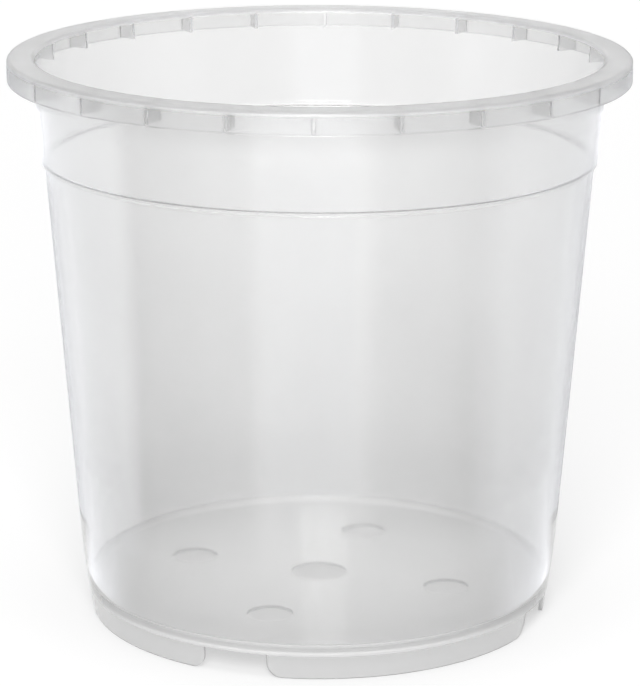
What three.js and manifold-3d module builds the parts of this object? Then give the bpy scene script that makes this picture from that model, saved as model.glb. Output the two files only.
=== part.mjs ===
// Clear orchid pot: one thin-walled, see-through moulding with a ribbed rim, a stepped collar,
// a tapered wall, a drained floor and four feet. Each mesh is one zone of that moulding, and
// the zones meet face to face on level planes, so together they are the whole pot.
// Millimetres, +Z up. The origin is the centre of the circle that the feet stand on.

import * as THREE from "three";
import { mergeVertices } from "three/addons/utils/BufferGeometryUtils.js";
import Module from "manifold-3d";

const { degToRad } = THREE.MathUtils;

// Whole pot
const HEIGHT = 194; // standing plane to the top of the lip
const MOUTH_DIAMETER = 191.4; // inside of the lip, at its top
const WALL = 1.2; // radial thickness of the wall and the collar
const WALL_DRAFT = degToRad(4.45); // taper of the long wall

// Rim: a flat lip, a skirt hanging from its outer edge, and radial ribs in the channel between
const LIP_WIDTH = 9.3; // mouth to the outside of the skirt
const LIP_THICKNESS = 1.4;
const LIP_INNER_ROUND = 0.6;
const LIP_OUTER_ROUND = 1.4;
const SKIRT_HEIGHT = 7.75; // top of the lip to the bottom of the skirt
const SKIRT_WALL = 1.3;
const RIB_COUNT = 24;
const RIB_WIDTH = 1;
const RIB_RECESS = 0.7; // the ribs stop this far above the bottom of the skirt
const RIB_PHASE = degToRad(-1); // turn of the first rib from +X

// Collar: the upper band, which stands out from the wall by a small, nearly level step
const COLLAR_HEIGHT = 35.6; // bottom of the step to the top of the lip
const COLLAR_DRAFT = degToRad(4.59);
const STEP_WIDTH = 1.1; // the step's reach outwards
const STEP_RISE = 0.3; // the step's slope, from the wall up to the collar
const LEDGE_RISE = 1.25; // the ledge inside lies this much higher than the step outside

// Heel: below this height the wall turns in more steeply towards the feet
const HEEL_HEIGHT = 22.8;
const HEEL_DRAFT = degToRad(7.75);
const HEEL_BLEND = 5; // half the height over which the two tapers run into each other

// Floor: a flat plate with one drain in the middle and a ring of drains over the notches
const FLOOR_THICKNESS = 1.2;
const FLOOR_FILLET = 2;
const BRIDGE_HEIGHT = 1; // wall left above a notch, up to the underside of the floor
const BASE_WALL = 1.6; // radial thickness of the ring below the floor
const CENTRE_DRAIN_DIAMETER = 19.4;
const DRAIN_DIAMETER = 16;
const DRAIN_CIRCLE_DIAMETER = 94;

// Feet: arcs of a ring under the wall, parted by notches that let the water out
const NOTCH_COUNT = 4;
const NOTCH_PHASE = degToRad(-20.3); // turn of the first notch from +X
const NOTCH_WIDTH = 22;
const NOTCH_HEIGHT = 8.2;
const FOOT_CORNER_ROUND = 5.2; // lower corners of each foot, beside the notches
const FOOT_SET_BACK = 0.25; // the feet lie this far inside the face of the wall above them
const FOOT_EDGE = 0.3; // chamfer along the lower edges

// Fineness of the round forms
const TURN_STEPS = 96;
const ARC_STEPS = 2;
const DRAIN_STEPS = 32;
const CUT_MARGIN = 2; // cutters run this far past what they cut

// Heights and radii that follow from the sizes above
const STEP_Z = HEIGHT - COLLAR_HEIGHT;
const SKIRT_Z = HEIGHT - SKIRT_HEIGHT;
const LIP_UNDERSIDE_Z = HEIGHT - LIP_THICKNESS;
const FLOOR_UNDERSIDE_Z = NOTCH_HEIGHT + BRIDGE_HEIGHT;
const FLOOR_Z = FLOOR_UNDERSIDE_Z + FLOOR_THICKNESS;
const FLOOR_EDGE_Z = FLOOR_Z + FLOOR_FILLET;
const RIM_RADIUS = MOUTH_DIAMETER / 2 + LIP_WIDTH;

// Outside radius of each zone at a height
const collarRadius = (z) => MOUTH_DIAMETER / 2 + WALL - (HEIGHT - z) * Math.tan(COLLAR_DRAFT);
const STEP_RADIUS = collarRadius(STEP_Z + STEP_RISE) - STEP_WIDTH;
const wallRadius = (z) => STEP_RADIUS - (STEP_Z - z) * Math.tan(WALL_DRAFT);
const HEEL_RADIUS = wallRadius(HEEL_HEIGHT);
const heelRadius = (z) => HEEL_RADIUS - (HEEL_HEIGHT - z) * Math.tan(HEEL_DRAFT);
const footRadius = (z) => heelRadius(z) - FOOT_SET_BACK;
const baseInnerRadius = (z) => heelRadius(z) - BASE_WALL;

const wasm = await Module();
wasm.setup();

// A geometry with only merged positions left, so that its faces share their corners
function bare(geometry) {
  geometry.deleteAttribute("normal");
  geometry.deleteAttribute("uv");
  return mergeVertices(geometry);
}

function toSolid(geometry) {
  const merged = bare(geometry);
  const mesh = new wasm.Mesh({
    numProp: 3,
    vertProperties: new Float32Array(merged.attributes.position.array),
    triVerts: new Uint32Array(merged.index.array),
  });
  return new wasm.Manifold(mesh);
}

function toGeometry(solid) {
  const { vertProperties, triVerts } = solid.getMesh();
  const geometry = new THREE.BufferGeometry();
  geometry.setAttribute("position", new THREE.BufferAttribute(vertProperties, 3));
  geometry.setIndex(new THREE.BufferAttribute(triVerts, 1));
  geometry.computeVertexNormals();
  return geometry;
}

// Turns a closed outline about Z. The outline is drawn as (radius, height), counter-clockwise.
function revolve(outline) {
  const points = outline.getPoints(ARC_STEPS);
  const last = points[points.length - 1];
  if (!last.equals(points[0])) points.push(points[0].clone());
  return new THREE.LatheGeometry(points, TURN_STEPS).rotateX(Math.PI / 2);
}

// The angles of count copies, evenly spaced round the pot
function anglesAround(count, phase) {
  return Array.from({ length: count }, (_, i) => phase + (i * 2 * Math.PI) / count);
}

// Rim

function rimSection() {
  const innerRoundZ = HEIGHT - LIP_INNER_ROUND;
  const innerRoundRadius = MOUTH_DIAMETER / 2 + LIP_INNER_ROUND;
  const outerRoundZ = HEIGHT - LIP_OUTER_ROUND;
  const outerRoundRadius = RIM_RADIUS - LIP_OUTER_ROUND;
  const skirtInnerRadius = RIM_RADIUS - SKIRT_WALL;
  const section = new THREE.Shape();
  section.moveTo(collarRadius(SKIRT_Z) - WALL, SKIRT_Z);
  section.lineTo(collarRadius(SKIRT_Z), SKIRT_Z);
  section.lineTo(collarRadius(LIP_UNDERSIDE_Z), LIP_UNDERSIDE_Z);
  section.lineTo(skirtInnerRadius, LIP_UNDERSIDE_Z);
  section.lineTo(skirtInnerRadius, SKIRT_Z);
  section.lineTo(RIM_RADIUS, SKIRT_Z);
  section.absarc(outerRoundRadius, outerRoundZ, LIP_OUTER_ROUND, 0, Math.PI / 2);
  section.absarc(innerRoundRadius, innerRoundZ, LIP_INNER_ROUND, Math.PI / 2, Math.PI);
  section.closePath();
  return section;
}

// One rib along +X. Its ends and its top are buried in the wall, the skirt and the lip.
function ribBlock() {
  const insideWall = (collarRadius(LIP_UNDERSIDE_Z) - WALL + collarRadius(SKIRT_Z)) / 2;
  const insideSkirt = RIM_RADIUS - SKIRT_WALL / 2;
  const bottom = SKIRT_Z + RIB_RECESS;
  const insideLip = HEIGHT - LIP_THICKNESS / 2;
  const length = insideSkirt - insideWall;
  const height = insideLip - bottom;
  const block = new THREE.BoxGeometry(length, RIB_WIDTH, height);
  return block.translate(insideWall + length / 2, 0, bottom + height / 2);
}

function rimGeometry() {
  let rim = toSolid(revolve(rimSection()));
  for (const angle of anglesAround(RIB_COUNT, RIB_PHASE)) {
    rim = rim.add(toSolid(ribBlock().rotateZ(angle)));
  }
  return toGeometry(rim);
}

// Collar

function collarGeometry() {
  const stepTop = STEP_Z + STEP_RISE;
  const ledgeBottom = STEP_Z + LEDGE_RISE;
  const ledgeTop = stepTop + LEDGE_RISE;
  const section = new THREE.Shape();
  section.moveTo(STEP_RADIUS - WALL, STEP_Z);
  section.lineTo(STEP_RADIUS, STEP_Z);
  section.lineTo(collarRadius(stepTop), stepTop);
  section.lineTo(collarRadius(SKIRT_Z), SKIRT_Z);
  section.lineTo(collarRadius(SKIRT_Z) - WALL, SKIRT_Z);
  section.lineTo(collarRadius(ledgeTop) - WALL, ledgeTop);
  section.lineTo(STEP_RADIUS - WALL, ledgeBottom);
  section.closePath();
  return bare(revolve(section));
}

// Wall

function wallGeometry() {
  const blendBottom = HEEL_HEIGHT - HEEL_BLEND;
  const blendTop = HEEL_HEIGHT + HEEL_BLEND;
  const section = new THREE.Shape();
  section.moveTo(heelRadius(FLOOR_EDGE_Z) - WALL, FLOOR_EDGE_Z);
  section.lineTo(heelRadius(FLOOR_EDGE_Z), FLOOR_EDGE_Z);
  section.lineTo(heelRadius(blendBottom), blendBottom);
  section.quadraticCurveTo(HEEL_RADIUS, HEEL_HEIGHT, wallRadius(blendTop), blendTop);
  section.lineTo(STEP_RADIUS, STEP_Z);
  section.lineTo(STEP_RADIUS - WALL, STEP_Z);
  section.lineTo(wallRadius(blendTop) - WALL, blendTop);
  section.quadraticCurveTo(HEEL_RADIUS - WALL, HEEL_HEIGHT, heelRadius(blendBottom) - WALL, blendBottom);
  section.closePath();
  return bare(revolve(section));
}

// Floor

function floorSection() {
  const drainRadius = CENTRE_DRAIN_DIAMETER / 2;
  const filletRadius = heelRadius(FLOOR_EDGE_Z) - WALL - FLOOR_FILLET;
  const section = new THREE.Shape();
  section.moveTo(drainRadius, FLOOR_UNDERSIDE_Z);
  section.lineTo(baseInnerRadius(FLOOR_UNDERSIDE_Z), FLOOR_UNDERSIDE_Z);
  section.lineTo(baseInnerRadius(NOTCH_HEIGHT), NOTCH_HEIGHT);
  section.lineTo(heelRadius(NOTCH_HEIGHT), NOTCH_HEIGHT);
  section.lineTo(heelRadius(FLOOR_EDGE_Z), FLOOR_EDGE_Z);
  section.lineTo(heelRadius(FLOOR_EDGE_Z) - WALL, FLOOR_EDGE_Z);
  section.absarc(filletRadius, FLOOR_EDGE_Z, FLOOR_FILLET, 0, -Math.PI / 2, true);
  section.lineTo(drainRadius, FLOOR_Z);
  section.closePath();
  return section;
}

function floorGeometry() {
  let floor = toSolid(revolve(floorSection()));
  const radius = DRAIN_DIAMETER / 2;
  const length = FLOOR_THICKNESS + 2 * CUT_MARGIN;
  for (const angle of anglesAround(NOTCH_COUNT, NOTCH_PHASE)) {
    const drain = new THREE.CylinderGeometry(radius, radius, length, DRAIN_STEPS).rotateX(Math.PI / 2);
    drain.translate(DRAIN_CIRCLE_DIAMETER / 2, 0, FLOOR_UNDERSIDE_Z + FLOOR_THICKNESS / 2);
    floor = floor.subtract(toSolid(drain.rotateZ(angle)));
  }
  return toGeometry(floor);
}

// Feet

function footRingSection() {
  const section = new THREE.Shape();
  section.moveTo(baseInnerRadius(0) + FOOT_EDGE, 0);
  section.lineTo(footRadius(0) - FOOT_EDGE, 0);
  section.lineTo(footRadius(FOOT_EDGE), FOOT_EDGE);
  section.lineTo(footRadius(NOTCH_HEIGHT), NOTCH_HEIGHT);
  section.lineTo(baseInnerRadius(NOTCH_HEIGHT), NOTCH_HEIGHT);
  section.lineTo(baseInnerRadius(FOOT_EDGE), FOOT_EDGE);
  section.closePath();
  return section;
}

// A notch along +X: straight sides above, flaring out below round the corners of the feet
function notchCutter() {
  const half = NOTCH_WIDTH / 2;
  const flare = half + FOOT_CORNER_ROUND;
  const top = NOTCH_HEIGHT + CUT_MARGIN;
  const outline = new THREE.Shape();
  outline.moveTo(-flare, -CUT_MARGIN);
  outline.lineTo(flare, -CUT_MARGIN);
  outline.absarc(flare, FOOT_CORNER_ROUND, FOOT_CORNER_ROUND, -Math.PI / 2, -Math.PI, true);
  outline.lineTo(half, top);
  outline.lineTo(-half, top);
  outline.absarc(-flare, FOOT_CORNER_ROUND, FOOT_CORNER_ROUND, 0, -Math.PI / 2, true);
  outline.closePath();
  const start = baseInnerRadius(0) / 2;
  const depth = heelRadius(NOTCH_HEIGHT) + CUT_MARGIN - start;
  const settings = { depth, bevelEnabled: false, curveSegments: 2 * ARC_STEPS };
  const cutter = new THREE.ExtrudeGeometry(outline, settings);
  return cutter.translate(0, 0, start).rotateX(Math.PI / 2).rotateZ(Math.PI / 2);
}

// The slice of the pot, along +X, that holds one foot and half of the notch on either side
function footSlice() {
  const reach = heelRadius(NOTCH_HEIGHT) + CUT_MARGIN;
  const side = reach * Math.tan(Math.PI / NOTCH_COUNT);
  const outline = new THREE.Shape();
  outline.moveTo(0, 0);
  outline.lineTo(reach, -side);
  outline.lineTo(reach, side);
  outline.closePath();
  const settings = { depth: NOTCH_HEIGHT + 2 * CUT_MARGIN, bevelEnabled: false };
  return new THREE.ExtrudeGeometry(outline, settings).translate(0, 0, -CUT_MARGIN);
}

function feetGeometries() {
  let ring = toSolid(revolve(footRingSection()));
  for (const angle of anglesAround(NOTCH_COUNT, NOTCH_PHASE)) {
    ring = ring.subtract(toSolid(notchCutter().rotateZ(angle)));
  }
  const halfPitch = Math.PI / NOTCH_COUNT;
  return anglesAround(NOTCH_COUNT, NOTCH_PHASE + halfPitch).map((angle) => {
    return toGeometry(ring.intersect(toSolid(footSlice().rotateZ(angle))));
  });
}

// Clear plastic, a little greyer where the moulding is seen through several layers
function clearPlastic(color, opacity) {
  return new THREE.MeshStandardMaterial({
    color,
    roughness: 0.22,
    metalness: 0,
    transparent: true,
    opacity,
  });
}

function addZone(pot, name, geometry, material) {
  const mesh = new THREE.Mesh(geometry, material);
  mesh.name = name;
  pot.add(mesh);
}

const pot = new THREE.Group();
pot.name = "orchid_pot";
addZone(pot, "rim", rimGeometry(), clearPlastic(0xd2d4d5, 0.6));
addZone(pot, "collar", collarGeometry(), clearPlastic(0xe6e8e9, 0.4));
addZone(pot, "wall", wallGeometry(), clearPlastic(0xe2e5e6, 0.4));
addZone(pot, "floor", floorGeometry(), clearPlastic(0xd8dbdc, 0.45));
feetGeometries().forEach((geometry, i) => {
  addZone(pot, `foot_${i + 1}`, geometry, clearPlastic(0xcdd0d1, 0.5));
});

export default pot;
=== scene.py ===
from math import cos, hypot, pi, radians, sin, tan

import bmesh
import bpy
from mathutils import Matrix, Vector


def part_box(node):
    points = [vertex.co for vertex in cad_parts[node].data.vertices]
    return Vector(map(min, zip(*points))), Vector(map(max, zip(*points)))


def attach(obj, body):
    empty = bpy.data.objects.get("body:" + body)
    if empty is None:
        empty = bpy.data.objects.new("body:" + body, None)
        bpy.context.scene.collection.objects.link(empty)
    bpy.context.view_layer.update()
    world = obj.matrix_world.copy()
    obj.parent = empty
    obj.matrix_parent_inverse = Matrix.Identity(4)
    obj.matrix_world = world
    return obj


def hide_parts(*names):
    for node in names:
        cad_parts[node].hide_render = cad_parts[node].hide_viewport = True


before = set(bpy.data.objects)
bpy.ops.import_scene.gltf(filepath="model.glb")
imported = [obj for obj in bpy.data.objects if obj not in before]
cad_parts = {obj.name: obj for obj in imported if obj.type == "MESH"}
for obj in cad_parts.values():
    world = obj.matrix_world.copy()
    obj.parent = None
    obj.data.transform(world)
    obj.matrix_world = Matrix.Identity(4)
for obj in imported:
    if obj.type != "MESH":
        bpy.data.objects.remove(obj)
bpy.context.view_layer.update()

bpy.ops.object.select_all(action="DESELECT")


# Pot shell
# The pot is one injection moulding in clear polypropylene. Its wall goes up the outside from the
# feet, over the rim and down the inside to the floor, and it is drawn here as rings in that order.

rim_low, rim_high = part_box("rim")
collar_low, collar_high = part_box("collar")
wall_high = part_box("wall")[1]
floor_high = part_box("floor")[1]
foot_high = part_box("foot_1")[1]

wall_thickness = 0.0012
base_thickness = 0.0016
lip_thickness = 0.0014
skirt_thickness = 0.0013
floor_thickness = 0.0012
floor_fillet = 0.002
step_width = 0.0011
step_rise = 0.0003
ledge_rise = 0.00125
heel_height = 0.0228
heel_blend = 0.005
wall_draft = tan(radians(4.45))
heel_draft = tan(radians(7.75))
foot_set_back = 0.00025
centre_drain_radius = 0.0097

lip_outer_rounding = 0.0014
lip_inner_rounding = 0.0013
corner_rounding = 0.0005
channel_rounding = 0.0004
edge_rounding = 0.0003
shoulder_rounding = 0.0001

turn_steps = 192
rounding_steps = 6
nearness = 0.00001

lip_z = rim_high.z
skirt_z = rim_low.z
lip_underside_z = lip_z - lip_thickness
step_z = collar_low.z
step_top_z = step_z + step_rise
ledge_z = step_z + ledge_rise
ledge_top_z = step_top_z + ledge_rise
notch_z = foot_high.z
fillet_top_z = floor_high.z
floor_z = fillet_top_z - floor_fillet
floor_underside_z = floor_z - floor_thickness

rim_radius = rim_high.x
skirt_inner_radius = rim_radius - skirt_thickness
step_radius = wall_high.x
collar_draft = (collar_high.x - step_radius - step_width) / (skirt_z - step_top_z)


def collar_radius(z):
    return step_radius + step_width + (z - step_top_z) * collar_draft


def wall_radius(z):
    return step_radius - (step_z - z) * wall_draft


def heel_radius(z):
    return wall_radius(heel_height) - (heel_height - z) * heel_draft


# Corners of the wall's section as (radius, height, rounding), from the feet up, over and down again
shell_section = [
    (heel_radius(0) - foot_set_back, 0, edge_rounding),
    (heel_radius(notch_z) - foot_set_back, notch_z, 0),
    (heel_radius(notch_z), notch_z, shoulder_rounding),
    (heel_radius(fillet_top_z), fillet_top_z, 0),
    (heel_radius(heel_height), heel_height, heel_blend),
    (step_radius, step_z, edge_rounding),
    (collar_radius(step_top_z), step_top_z, corner_rounding),
    (collar_radius(lip_underside_z), lip_underside_z, channel_rounding),
    (skirt_inner_radius, lip_underside_z, channel_rounding),
    (skirt_inner_radius, skirt_z, edge_rounding),
    (rim_radius, skirt_z, edge_rounding),
    (rim_radius, lip_z, lip_outer_rounding),
    (collar_radius(lip_z) - wall_thickness, lip_z, lip_inner_rounding),
    (collar_radius(ledge_top_z) - wall_thickness, ledge_top_z, corner_rounding),
    (step_radius - wall_thickness, ledge_z, edge_rounding),
    (heel_radius(heel_height) - wall_thickness, heel_height, heel_blend),
    (heel_radius(floor_z) - wall_thickness, floor_z, floor_fillet),
    (centre_drain_radius, floor_z, edge_rounding),
    (centre_drain_radius, floor_underside_z, edge_rounding),
    (heel_radius(floor_underside_z) - base_thickness, floor_underside_z, corner_rounding),
    (heel_radius(0) - base_thickness, 0, edge_rounding),
]


def select_ring(piece, radius, height):
    """Selects the ring of edges that lies at a radius and a height."""
    bpy.ops.mesh.select_all(action="DESELECT")
    mesh = bmesh.from_edit_mesh(piece.data)
    for edge in mesh.edges:
        edge.select_set(all(
            abs(hypot(v.co.x, v.co.y) - radius) < nearness and abs(v.co.z - height) < nearness
            for v in edge.verts
        ))
    bmesh.update_edit_mesh(piece.data)


last_radius, last_height = shell_section[0][:2]
bpy.ops.mesh.primitive_circle_add(vertices=turn_steps, radius=last_radius)
pot = bpy.context.object
pot.name = "pot"
bpy.ops.object.mode_set(mode="EDIT")
bpy.ops.mesh.select_mode(type="EDGE")
bpy.ops.mesh.select_all(action="SELECT")
for radius, height, _ in shell_section[1:]:
    rise = (0, 0, height - last_height)
    bpy.ops.mesh.extrude_edges_move(TRANSFORM_OT_translate={"value": rise})
    growth = radius / last_radius
    bpy.ops.transform.resize(value=(growth, growth, 1), center_override=(0, 0, 0))
    last_radius, last_height = radius, height
bpy.ops.mesh.select_all(action="DESELECT")
bpy.ops.mesh.select_non_manifold()
bpy.ops.mesh.bridge_edge_loops()
bpy.ops.mesh.select_all(action="SELECT")
bpy.ops.mesh.normals_make_consistent(inside=False)
for radius, height, rounding in shell_section:
    if rounding:
        select_ring(pot, radius, height)
        bpy.ops.mesh.bevel(offset=rounding, segments=rounding_steps, affect="EDGES")
bpy.ops.object.mode_set(mode="OBJECT")


# Rim ribs
# Thin upright ribs in the channel under the lip join the collar to the skirt and keep the rim stiff.
# They are moulded in one with the rim, so they are united with the shell.

rib_count = 24
rib_width = 0.001
rib_recess = 0.0007
rib_phase = radians(-1)


def cut_or_join(operation, tool):
    """Applies a boolean of the pot with a tool piece and removes the tool."""
    bpy.ops.object.select_all(action="DESELECT")
    pot.select_set(True)
    bpy.context.view_layer.objects.active = pot
    modifier = pot.modifiers.new("form", "BOOLEAN")
    modifier.operation = operation
    modifier.solver = "EXACT"
    modifier.object = tool
    bpy.ops.object.modifier_apply(modifier=modifier.name)
    bpy.data.objects.remove(tool)


def repeat_round(count):
    """Copies what is selected in edit mode evenly round the pot's axis."""
    bpy.ops.mesh.spin(steps=count - 1, dupli=True, angle=2 * pi * (count - 1) / count,
                      center=(0, 0, 0), axis=(0, 0, 1))


rib_inner = (collar_radius(lip_underside_z) - wall_thickness + collar_radius(skirt_z)) / 2
rib_outer = rim_radius - skirt_thickness / 2
rib_bottom = skirt_z + rib_recess
rib_top = lip_z - lip_thickness / 2
bpy.ops.mesh.primitive_cube_add(size=1)
ribs = bpy.context.object
bpy.ops.object.mode_set(mode="EDIT")
bpy.ops.transform.resize(value=(rib_outer - rib_inner, rib_width, rib_top - rib_bottom))
bpy.ops.transform.translate(value=((rib_inner + rib_outer) / 2, 0, (rib_bottom + rib_top) / 2))
bpy.ops.transform.rotate(value=-rib_phase, orient_axis="Z", center_override=(0, 0, 0))
repeat_round(rib_count)
bpy.ops.object.mode_set(mode="OBJECT")
cut_or_join("UNION", ribs)


# Drains
# Round drains go through the floor plate, one behind each notch between the feet. The drain in the
# middle is already part of the shell's section.

drain_count = 4
drain_radius = 0.008
drain_circle_radius = 0.047
drain_phase = radians(-20.3)
drain_steps = 64
cut_margin = 0.002

drain_depth = floor_thickness + 2 * cut_margin
bpy.ops.mesh.primitive_cylinder_add(vertices=drain_steps, radius=drain_radius, depth=drain_depth)
drains = bpy.context.object
bpy.ops.object.mode_set(mode="EDIT")
bpy.ops.transform.translate(value=(drain_circle_radius, 0, floor_z - floor_thickness / 2))
bpy.ops.transform.rotate(value=-drain_phase, orient_axis="Z", center_override=(0, 0, 0))
repeat_round(drain_count)
bpy.ops.object.mode_set(mode="OBJECT")
cut_or_join("DIFFERENCE", drains)


# Notches
# The foot ring is broken by notches that let the water out, one for each drain of the ring. Their sides
# run straight down and then flare out round the lower corners of the feet.

notch_width = 0.022
notch_clearance = 0.00005
foot_corner = 0.0052
flare_steps = 12

notch_top_z = notch_z - notch_clearance
notch_start = heel_radius(0) / 2
notch_end = heel_radius(notch_z) + cut_margin
bpy.ops.mesh.primitive_plane_add(size=1)
notches = bpy.context.object
bpy.ops.object.mode_set(mode="EDIT")
bpy.ops.transform.rotate(value=pi / 2, orient_axis="Y", center_override=(0, 0, 0))
bpy.ops.transform.resize(value=(1, notch_width, notch_top_z - foot_corner))
bpy.ops.transform.translate(value=(notch_start, 0, (notch_top_z + foot_corner) / 2))
bpy.ops.mesh.select_mode(type="EDGE")
bpy.ops.mesh.select_all(action="DESELECT")
notch_mesh = bmesh.from_edit_mesh(notches.data)
for edge in notch_mesh.edges:
    edge.select_set(all(v.co.z < foot_corner + nearness for v in edge.verts))
bmesh.update_edit_mesh(notches.data)
last_half, last_z = notch_width / 2, foot_corner
for i in range(1, flare_steps + 1):
    turn = pi / 2 * i / flare_steps
    z = foot_corner * (1 - sin(turn))
    half = notch_width / 2 + foot_corner * (1 - cos(turn))
    bpy.ops.mesh.extrude_edges_move(TRANSFORM_OT_translate={"value": (0, 0, z - last_z)})
    bpy.ops.transform.resize(value=(1, half / last_half, 1), center_override=(0, 0, 0))
    last_half, last_z = half, z
bpy.ops.mesh.extrude_edges_move(TRANSFORM_OT_translate={"value": (0, 0, -cut_margin)})
bpy.ops.mesh.select_all(action="SELECT")
bpy.ops.mesh.extrude_region_move(TRANSFORM_OT_translate={"value": (notch_end - notch_start, 0, 0)})
bpy.ops.mesh.select_all(action="SELECT")
bpy.ops.mesh.normals_make_consistent(inside=False)
bpy.ops.transform.rotate(value=-drain_phase, orient_axis="Z", center_override=(0, 0, 0))
repeat_round(drain_count)
bpy.ops.object.mode_set(mode="OBJECT")
cut_or_join("DIFFERENCE", notches)


# Clear wall
# Collar, wall and feet are clear polypropylene with a faint milky haze and a satin gloss. The melt has
# left faint upright flow lines and a little unevenness, and the step is duller than the wall.

plastic_ior = 1.49
flow_stretch = (110, 110, 5)
flow_detail = 3
flow_depth = 0.0002
aslant_grey = 0.4

low_wall_z, high_wall_z = 0.03, 0.1
# The lower wall's grey is painted shade: the wall's colour gets darker towards the bottom.
low_wall_shade_grey, high_wall_grey = 0.88, 0.91
through_low_wall, through_high_wall = 0.64, 0.9
base_grey = 0.92
base_fade_z = (fillet_top_z + 0.004, fillet_top_z - 0.001)
haze_scale = 40
haze_stretch = (1, 1, 0.6)
haze_detail = 4
haze_limits = (0.3, 0.7)
haze_grey = 0.8
haze_cover = 0.2
wall_roughness = (0.05, 0.08)
dull_step_reach, dull_step_core = 0.0006, 0.0004
step_dullness = 0.15


class Paint:
    """The nodes of a material or of the world, with short ways to add the common ones."""

    def __init__(self, owner):
        owner.use_nodes = True
        self.owner = owner
        self.nodes = owner.node_tree.nodes
        self.links = owner.node_tree.links

    def fill(self, node, sockets):
        """Puts plain values and links into a node's sockets."""
        for key, value in sockets.items():
            if isinstance(value, bpy.types.NodeSocket):
                self.links.new(value, node.inputs[key])
            else:
                node.inputs[key].default_value = value

    def add(self, kind, sockets, **settings):
        """Adds a node with its settings and fills its sockets."""
        node = self.nodes.new("ShaderNode" + kind)
        for name, setting in settings.items():
            setattr(node, name, setting)
        self.fill(node, sockets)
        return node

    def place(self):
        """The point on the object, on the object's own axes."""
        return self.add("TexCoord", {}).outputs["Object"]

    def axes(self):
        """The X, Y and Z of that point."""
        return self.add("SeparateXYZ", {"Vector": self.place()}).outputs

    def maths(self, operation, *values):
        """Joins values and plain numbers by an operation."""
        return self.add("Math", dict(enumerate(values)), operation=operation).outputs["Value"]

    def from_axis(self, axes):
        """The distance of a point from the pot's upright axis."""
        squares = [self.maths("MULTIPLY", axes[name], axes[name]) for name in ("X", "Y")]
        return self.maths("SQRT", self.maths("ADD", *squares))

    def ramp(self, value, from_min, from_max, to_min=0, to_max=1):
        """Maps a value linearly from one pair of limits to another."""
        limits = {"From Min": from_min, "From Max": from_max, "To Min": to_min, "To Max": to_max}
        return self.add("MapRange", {"Value": value, **limits}).outputs["Result"]

    def near(self, value, centre, reach, core):
        """A mask of the values within a core of a centre, which fades out over the reach."""
        off = self.maths("ABSOLUTE", self.maths("SUBTRACT", value, centre))
        return self.ramp(off, reach, core)

    def noise(self, scale, stretch, detail):
        """A cloud pattern on the object's own axes, stretched along each of them."""
        fit = self.add("Mapping", {"Vector": self.place(), "Scale": stretch})
        cloud = {"Vector": fit.outputs["Vector"], "Scale": scale, "Detail": detail}
        return self.add("TexNoise", cloud).outputs["Fac"]

    def tint(self, mask, first, second):
        """Mixes two colours by a mask."""
        sockets = {"Factor": mask, "A": first, "B": second}
        return self.add("Mix", sockets, data_type="RGBA").outputs["Result"]


def grey(level):
    return (level, level, level, 1)


def light_through(paint, straight):
    """The colour of the light that shines through a wall, least where it meets the wall aslant."""
    slant = paint.add("LayerWeight", {}).outputs["Facing"]
    return paint.tint(slant, straight, grey(aslant_grey))


def clear_plastic(name, transmission, waviness):
    """Gives the pot a see-through plastic with its waviness in the bump, which lets the light pass."""
    paint = Paint(bpy.data.materials.new(name))
    shader = paint.nodes["Principled BSDF"]
    flow = paint.noise(1, flow_stretch, flow_detail)
    waves = paint.add("Bump", {"Strength": waviness, "Distance": flow_depth, "Height": flow})
    paint.fill(shader, {
        "IOR": plastic_ior,
        "Transmission Weight": transmission,
        "Normal": waves.outputs["Normal"],
    })
    ray = paint.add("LightPath", {}).outputs
    passed = paint.add("BsdfTransparent", {})
    light_or_sight = paint.add("MixShader", {
        "Fac": paint.maths("MAXIMUM", ray["Is Shadow Ray"], ray["Is Diffuse Ray"]),
        1: shader.outputs["BSDF"],
        2: passed.outputs["BSDF"],
    })
    paint.fill(paint.nodes["Material Output"], {"Surface": light_or_sight.outputs["Shader"]})
    pot.data.materials.append(paint.owner)
    return paint, shader, passed


wall_paint, wall_shader, wall_passed = clear_plastic("wall_plastic", transmission=0.86, waviness=0.2)
wall_z = wall_paint.axes()["Z"]
up_wall = wall_paint.ramp(wall_z, low_wall_z, high_wall_z)
through_wall = wall_paint.tint(up_wall, grey(through_low_wall), grey(through_high_wall))
wall_paint.fill(wall_passed, {"Color": light_through(wall_paint, through_wall)})
wall_haze = wall_paint.noise(haze_scale, haze_stretch, haze_detail)
haze_mask = wall_paint.ramp(wall_haze, *haze_limits, 0, haze_cover)
in_step = wall_paint.near(wall_z, (step_z + step_top_z) / 2, dull_step_reach, dull_step_core)
in_base = wall_paint.ramp(wall_z, *base_fade_z)
# Painted shade: the wall's colour darkens towards the bottom of the wall.
wall_colour = wall_paint.tint(up_wall, grey(low_wall_shade_grey), grey(high_wall_grey))
wall_colour = wall_paint.tint(haze_mask, wall_colour, grey(haze_grey))
wall_paint.fill(wall_shader, {
    "Base Color": wall_paint.tint(in_base, wall_colour, grey(base_grey)),
    "Roughness": wall_paint.maths("ADD", wall_paint.ramp(wall_haze, *haze_limits, *wall_roughness),
                                  wall_paint.maths("MULTIPLY", in_step, step_dullness)),
})


# Ribbed rim
# The rim is the same plastic, but its lip is duller and greyer. The skirt is painted darker where the
# ribs stand behind it, as painted shade, and its lower edge gets a painted dark line of shade.

through_rim = 0.82
rim_greys = (0.95, 0.93)
lip_grey = 0.91
# Greys of the painted shade behind the ribs and of the painted shade along the skirt's lower edge
rib_shade_grey = 0.82
skirt_edge_shade_grey = 0.8
rim_roughness = (0.2, 0.26)
lip_dullness = 0.1
lip_fade_z = (lip_underside_z - 0.0006, lip_underside_z - 0.0002)
skirt_edge_fade_z = (skirt_z + 0.0007, skirt_z + 0.0003)
skirt_fade_radius = (skirt_inner_radius - 0.002, skirt_inner_radius - 0.001)
rib_reach, rib_core = 0.035, 0.022

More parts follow.
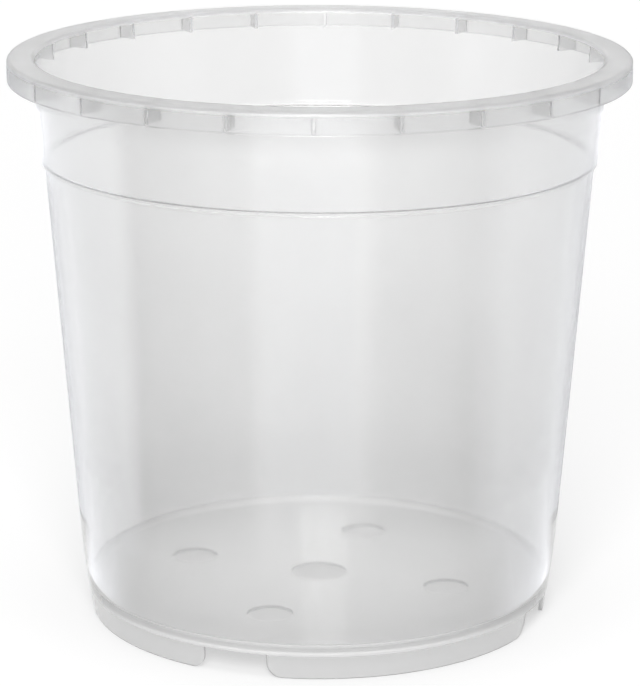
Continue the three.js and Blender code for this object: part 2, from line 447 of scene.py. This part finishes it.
rim_paint, rim_shader, rim_passed = clear_plastic("rim_plastic", transmission=0.94, waviness=0.06)
rim_paint.fill(rim_passed, {"Color": light_through(rim_paint, grey(through_rim))})
rim_axes = rim_paint.axes()
in_lip = rim_paint.ramp(rim_axes["Z"], *lip_fade_z)
# Painted shade: a dark line along the skirt's lower edge.
skirt_edge_shade_mask = rim_paint.maths("MULTIPLY", rim_paint.ramp(rim_axes["Z"], *skirt_edge_fade_z),
                                rim_paint.ramp(rim_paint.from_axis(rim_axes), *skirt_fade_radius))
ribs_per_radian = rib_count / (2 * pi)
rim_turn = rim_paint.maths("ARCTAN2", rim_axes["Y"], rim_axes["X"])
ribs_turned = rim_paint.maths("MULTIPLY", rim_turn, ribs_per_radian)
ribs_turned = rim_paint.maths("ADD", ribs_turned, rib_count + 0.5 - rib_phase * ribs_per_radian)
at_rib = rim_paint.near(rim_paint.maths("FRACT", ribs_turned), 0.5, rib_reach, rib_core)
# Painted shade of the ribs: the rim below the lip is darkened wherever a rib stands.
rib_shade_mask = rim_paint.maths("MULTIPLY", at_rib, rim_paint.maths("SUBTRACT", 1, in_lip))
rim_haze = rim_paint.noise(haze_scale, haze_stretch, haze_detail)
rim_colour = rim_paint.tint(rim_paint.ramp(rim_haze, *haze_limits), *map(grey, rim_greys))
rim_colour = rim_paint.tint(in_lip, rim_colour, grey(lip_grey))
rim_colour = rim_paint.tint(rib_shade_mask, rim_colour, grey(rib_shade_grey))
rim_paint.fill(rim_shader, {
    "Base Color": rim_paint.tint(skirt_edge_shade_mask, rim_colour, grey(skirt_edge_shade_grey)),
    "Roughness": rim_paint.maths("ADD", rim_paint.ramp(rim_haze, *haze_limits, *rim_roughness),
                                 rim_paint.maths("MULTIPLY", in_lip, lip_dullness)),
})


# Milky floor
# The floor plate is moulded thick and cools slowly, so it is milkier than the wall, and what has slid
# about in the pot has scuffed it. The lower edges and the ends of the feet are as milky.

through_floor, through_underside = 0.94, 0.25
underside_fade_z = (floor_z - 0.0004, floor_z - 0.0008)
plate_radius = heel_radius(floor_underside_z) - base_thickness
underside_fade_radius = (plate_radius - 0.0003, plate_radius - 0.001)
underside_dullness = 0.35
milk_scale = 60
milk_stretch = (1, 1, 1)
milk_detail = 5
floor_greys = (0.98, 0.95)
milky_roughness = (0.06, 0.1)
long_scratch_stretch, long_scratch_limits = (1600, 45, 1), (0.7, 0.74)
cross_scratch_stretch, cross_scratch_limits = (50, 1900, 1), (0.71, 0.75)
scratch_dullness = 0.15

floor_paint, floor_shader, floor_passed = clear_plastic("floor_plastic", transmission=0.04, waviness=0.04)
floor_axes = floor_paint.axes()
underneath = floor_paint.maths(
    "MULTIPLY", floor_paint.ramp(floor_axes["Z"], *underside_fade_z),
    floor_paint.ramp(floor_paint.from_axis(floor_axes), *underside_fade_radius))
through_plate = floor_paint.tint(underneath, grey(through_floor), grey(through_underside))
floor_paint.fill(floor_passed, {"Color": light_through(floor_paint, through_plate)})
floor_milk = floor_paint.noise(milk_scale, milk_stretch, milk_detail)
long_scratches = floor_paint.ramp(floor_paint.noise(1, long_scratch_stretch, 1), *long_scratch_limits)
cross_scratches = floor_paint.ramp(floor_paint.noise(1, cross_scratch_stretch, 1), *cross_scratch_limits)
scratches = floor_paint.maths("MAXIMUM", long_scratches, cross_scratches)
top_roughness = floor_paint.maths("ADD", floor_paint.ramp(floor_milk, *haze_limits, *milky_roughness),
                                  floor_paint.maths("MULTIPLY", scratches, scratch_dullness))
floor_paint.fill(floor_shader, {
    "Base Color": floor_paint.tint(floor_paint.ramp(floor_milk, *haze_limits), *map(grey, floor_greys)),
    "Roughness": floor_paint.maths("ADD", top_roughness,
                                   floor_paint.maths("MULTIPLY", underneath, underside_dullness)),
})


# Milky heel
# Where the wall runs into the floor plate it is thicker and half milky, which draws a soft band round
# the pot above the feet. The walls of the drains look the same.

through_heel = 0.7
heel_greys = (0.96, 0.93)

heel_paint, heel_shader, heel_passed = clear_plastic("heel_plastic", transmission=0.66, waviness=0.04)
heel_paint.fill(heel_passed, {"Color": light_through(heel_paint, grey(through_heel))})
heel_milk = heel_paint.noise(milk_scale, milk_stretch, milk_detail)
heel_paint.fill(heel_shader, {
    "Base Color": heel_paint.tint(heel_paint.ramp(heel_milk, *haze_limits), *map(grey, heel_greys)),
    "Roughness": heel_paint.ramp(heel_milk, *haze_limits, *milky_roughness),
})


# Finished moulding
# Each zone of the moulding gets its plastic, and its round faces are smoothed. It is one rigid piece,
# and it takes the place of all the solids.

rim_margin = 0.0002
underside_margin = 0.0006
fillet_margin = 0.0002
heel_margin = 0.0001
floor_edge = heel_radius(floor_z) - wall_thickness + floor_thickness / 4
drains_edge = drain_circle_radius + 2 * drain_radius
upright_limit = 0.3
outward_limit = 0.5
smooth_angle = radians(35)


def plastic_of(face):
    """The plastic of a face, by its place and slope."""
    x, y, z = face.center
    radius = hypot(x, y)
    outward = abs(face.normal.x * x + face.normal.y * y) / radius
    if z > skirt_z - rim_margin:
        return rim_paint
    if floor_underside_z < z < floor_z and abs(face.normal.z) < upright_limit and radius < drains_edge:
        return heel_paint
    if floor_underside_z - underside_margin < z < fillet_top_z + fillet_margin and radius < floor_edge:
        return floor_paint
    if notch_z - heel_margin < z < fillet_top_z + heel_margin:
        return heel_paint
    if z < notch_z and outward < outward_limit:
        return floor_paint
    return wall_paint


for face in pot.data.polygons:
    face.material_index = pot.data.materials.find(plastic_of(face).owner.name)

bpy.ops.object.select_all(action="DESELECT")
pot.select_set(True)
bpy.context.view_layer.objects.active = pot
bpy.ops.object.shade_smooth_by_angle(angle=smooth_angle)
weighted = pot.modifiers.new("normals", "WEIGHTED_NORMAL")
weighted.keep_sharp = True
bpy.ops.object.modifier_apply(modifier=weighted.name)

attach(pot, "root")
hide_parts("rim", "collar", "wall", "floor", "foot_1", "foot_2", "foot_3", "foot_4")


# Studio floor
# A wide pale floor, plain white to the eye, which keeps the pot's soft shadow. It is lit evenly to the
# back, so its brightness there makes up for the lamps' being further away.

studio_width = 12
studio_grey = 0.45
near_distance, far_distance, end_distance = 0.2, 1.5, 4
near_glow, far_glow, end_glow = 0.53, 0.69, 0.14


def seen_or_mirrored(paint):
    """Tells the rays that the eye follows, straight, mirrored or through glass, from those of the light."""
    ray = paint.add("LightPath", {}).outputs
    straight_or_mirrored = paint.maths("MAXIMUM", ray["Is Camera Ray"], ray["Is Glossy Ray"])
    return paint.maths("MAXIMUM", straight_or_mirrored, ray["Is Transmission Ray"])


bpy.ops.mesh.primitive_plane_add(size=studio_width)
studio_floor = bpy.context.object
studio_floor.name = "studio_floor"
ground = Paint(bpy.data.materials.new("studio_floor"))
distance = ground.add("VectorMath", {0: ground.place()}, operation="LENGTH").outputs["Value"]
glow = ground.maths("ADD", ground.ramp(distance, near_distance, far_distance, near_glow, far_glow),
                    ground.ramp(distance, far_distance, end_distance, 0, end_glow))
ground.fill(ground.nodes["Principled BSDF"], {
    "Base Color": grey(studio_grey),
    "Roughness": 1,
    "Specular IOR Level": 0,
    "Emission Color": grey(1),
    "Emission Strength": ground.maths("MULTIPLY", seen_or_mirrored(ground), glow),
})
studio_floor.data.materials.append(ground.owner)


# Studio light
# A white surround, a key light high in front of the pot and a large soft box overhead.

surround_light = 0.4
surround_white = 1
pot_middle = Vector((0, 0, lip_z / 2))

surround = Paint(bpy.data.worlds.new("studio"))
bpy.context.scene.world = surround.owner
surround.fill(surround.nodes["Background"], {
    "Color": grey(1),
    "Strength": surround.ramp(seen_or_mirrored(surround), 0, 1, surround_light, surround_white),
})


def soft_box(name, place, width, power):
    """Adds a square soft light at a place, turned towards the pot's middle."""
    lamp = bpy.data.lights.new(name, "AREA")
    lamp.size = width
    lamp.energy = power
    box = bpy.data.objects.new(name, lamp)
    bpy.context.scene.collection.objects.link(box)
    box.location = place
    box.rotation_euler = (pot_middle - Vector(place)).to_track_quat("-Z", "Y").to_euler()
    box.visible_camera = False


soft_box("key_box", place=(-0.06, -1.2, 0.8), width=0.55, power=18)
soft_box("overhead_box", place=(0, 0.1, 2.5), width=3, power=32)


# Reflection cards
# Rings of cards lean round the pot and show only as reflections in its gloss: dark cards in front on
# both sides, pale ones between them, bright ones at the sides and grey ones that draw the outline.

card_colour = (0.955, 0.966, 1, 1)
card_steps = 96
soft_edge = 0.016
narrow_edge = 0.012
crisp_edge = 0.004


def card_ring(name, foot, top, feather, walls_passed, cover_stops):
    """Adds a leaning ring of card from foot to top, both (radius, height, brightness).

    It shows in gloss, through at most so many walls. Its edges fade over a feather, and a cover stop is
    (degrees to the right of the front, cover)."""
    foot_radius, foot_z, foot_level = foot
    top_radius, top_z, top_level = top
    bpy.ops.object.select_all(action="DESELECT")
    bpy.ops.mesh.primitive_cone_add(vertices=card_steps, radius1=foot_radius, radius2=top_radius,
                                    depth=top_z - foot_z, end_fill_type="NOTHING")
    ring = bpy.context.object
    ring.name = name
    bpy.ops.object.mode_set(mode="EDIT")
    bpy.ops.mesh.select_all(action="SELECT")
    bpy.ops.transform.translate(value=(0, 0, (foot_z + top_z) / 2))
    bpy.ops.object.mode_set(mode="OBJECT")

    card = Paint(bpy.data.materials.new(name))
    card.nodes.remove(card.nodes["Principled BSDF"])
    axes = card.axes()
    turn = card.maths("ARCTAN2", axes["X"], card.maths("MULTIPLY", axes["Y"], -1))
    covers = card.add("ValToRGB", {"Fac": card.ramp(turn, -pi, pi)})
    marks = covers.color_ramp.elements
    marks.remove(marks[1])
    for i, (angle, cover) in enumerate(cover_stops):
        position = angle / 360 + 0.5
        mark = marks.new(position) if i else marks[0]
        mark.position = position
        mark.color = grey(cover)
    ray = card.add("LightPath", {}).outputs
    near = card.maths("LESS_THAN", ray["Transmission Depth"], 2 * walls_passed + 0.5)
    shown = card.maths("MULTIPLY", card.maths("MINIMUM", ray["Glossy Depth"], 1), near)
    shown = card.maths("MULTIPLY", shown, covers.outputs["Color"])
    shown = card.maths("MULTIPLY", shown, card.ramp(axes["Z"], foot_z, foot_z + feather))
    shown = card.maths("MULTIPLY", shown, card.ramp(axes["Z"], top_z, top_z - feather))
    level = card.ramp(axes["Z"], foot_z, top_z, foot_level, top_level)
    shine = card.add("Emission", {"Color": card_colour, "Strength": level})
    clear = card.add("BsdfTransparent", {})
    mix = card.add("MixShader", {"Fac": shown, 1: clear.outputs["BSDF"], 2: shine.outputs["Emission"]})
    card.fill(card.nodes["Material Output"], {"Surface": mix.outputs["Shader"]})
    ring.data.materials.append(card.owner)
    ring.visible_camera = False
    ring.visible_shadow = False
    ring.visible_diffuse = False


def both_sides(cover_stops):
    """Repeats the cover stops of the right-hand side on the left, in turning order."""
    return [(-angle, cover) for angle, cover in reversed(cover_stops)] + cover_stops


front_stops = [(-20, 0), (-19, 1), (12, 1), (13, 0)]
card_ring("dark_cards", foot=(0.15, 0, 0.1), top=(0.31, 0.2, 0.27), feather=soft_edge, walls_passed=1,
          cover_stops=[(-80, 0), (-68, 1), (-25, 1), (-18, 0), (12, 0), (22, 1), (70, 1), (86, 0)])
card_ring("front_low_card", foot=(0.17, 0, 1), top=(0.24, 0.13, 1), feather=soft_edge, walls_passed=2,
          cover_stops=front_stops)
card_ring("front_high_card", foot=(0.235, 0.12, 1.62), top=(0.305, 0.22, 1.62), feather=soft_edge,
          walls_passed=2, cover_stops=front_stops)
card_ring("outline_cards", foot=(0.125, -0.016, 0.46), top=(0.225, 0.125, 0.95), feather=soft_edge,
          walls_passed=1, cover_stops=both_sides([(108, 0), (142, 1), (165, 1), (174, 0)]))
card_ring("low_side_cards", foot=(0.0813, -0.012, 2), top=(0.138, 0.04, 1.5), feather=narrow_edge,
          walls_passed=1,
          cover_stops=[(-106, 0), (-96, 1), (-76, 1), (-62, 0), (54, 0), (68, 1), (96, 1), (106, 0)])
card_ring("rim_cards", foot=(0.228, 0.136, 0.8), top=(0.295, 0.215, 0.8), feather=crisp_edge,
          walls_passed=1, cover_stops=both_sides([(84, 0), (97, 1), (165, 1), (174, 0)]))
card_ring("left_card", foot=(0.131, -0.016, 1.5), top=(0.293, 0.21, 1.65), feather=soft_edge,
          walls_passed=1, cover_stops=[(-174, 0), (-168, 1), (-76, 1), (-66, 0)])
card_ring("right_card", foot=(0.137, -0.016, 1.4), top=(0.299, 0.21, 1.36), feather=soft_edge,
          walls_passed=1, cover_stops=[(54, 0), (70, 1), (168, 1), (174, 0)])


# Camera
# The photograph looks slightly down on the pot with a long lens from about a metre away.

focal_length = 163.64
film_width = 36
camera_place = (0.0003, -1.038, 0.3729)
camera_dip = radians(15.092)
camera_roll = radians(0.138)

camera_data = bpy.data.cameras.new("camera")
camera_data.lens = focal_length
camera_data.sensor_width = film_width
camera = bpy.data.objects.new("camera", camera_data)
bpy.context.scene.collection.objects.link(camera)
camera.location = camera_place
camera.rotation_euler = (pi / 2 - camera_dip, 0, 0)
camera.rotation_euler.rotate_axis("Z", camera_roll)
bpy.context.scene.camera = camera

bpy.context.scene.view_settings.view_transform = "Standard"
bpy.context.scene.cycles.max_bounces = 24
bpy.context.scene.cycles.glossy_bounces = 16
bpy.context.scene.cycles.transmission_bounces = 24
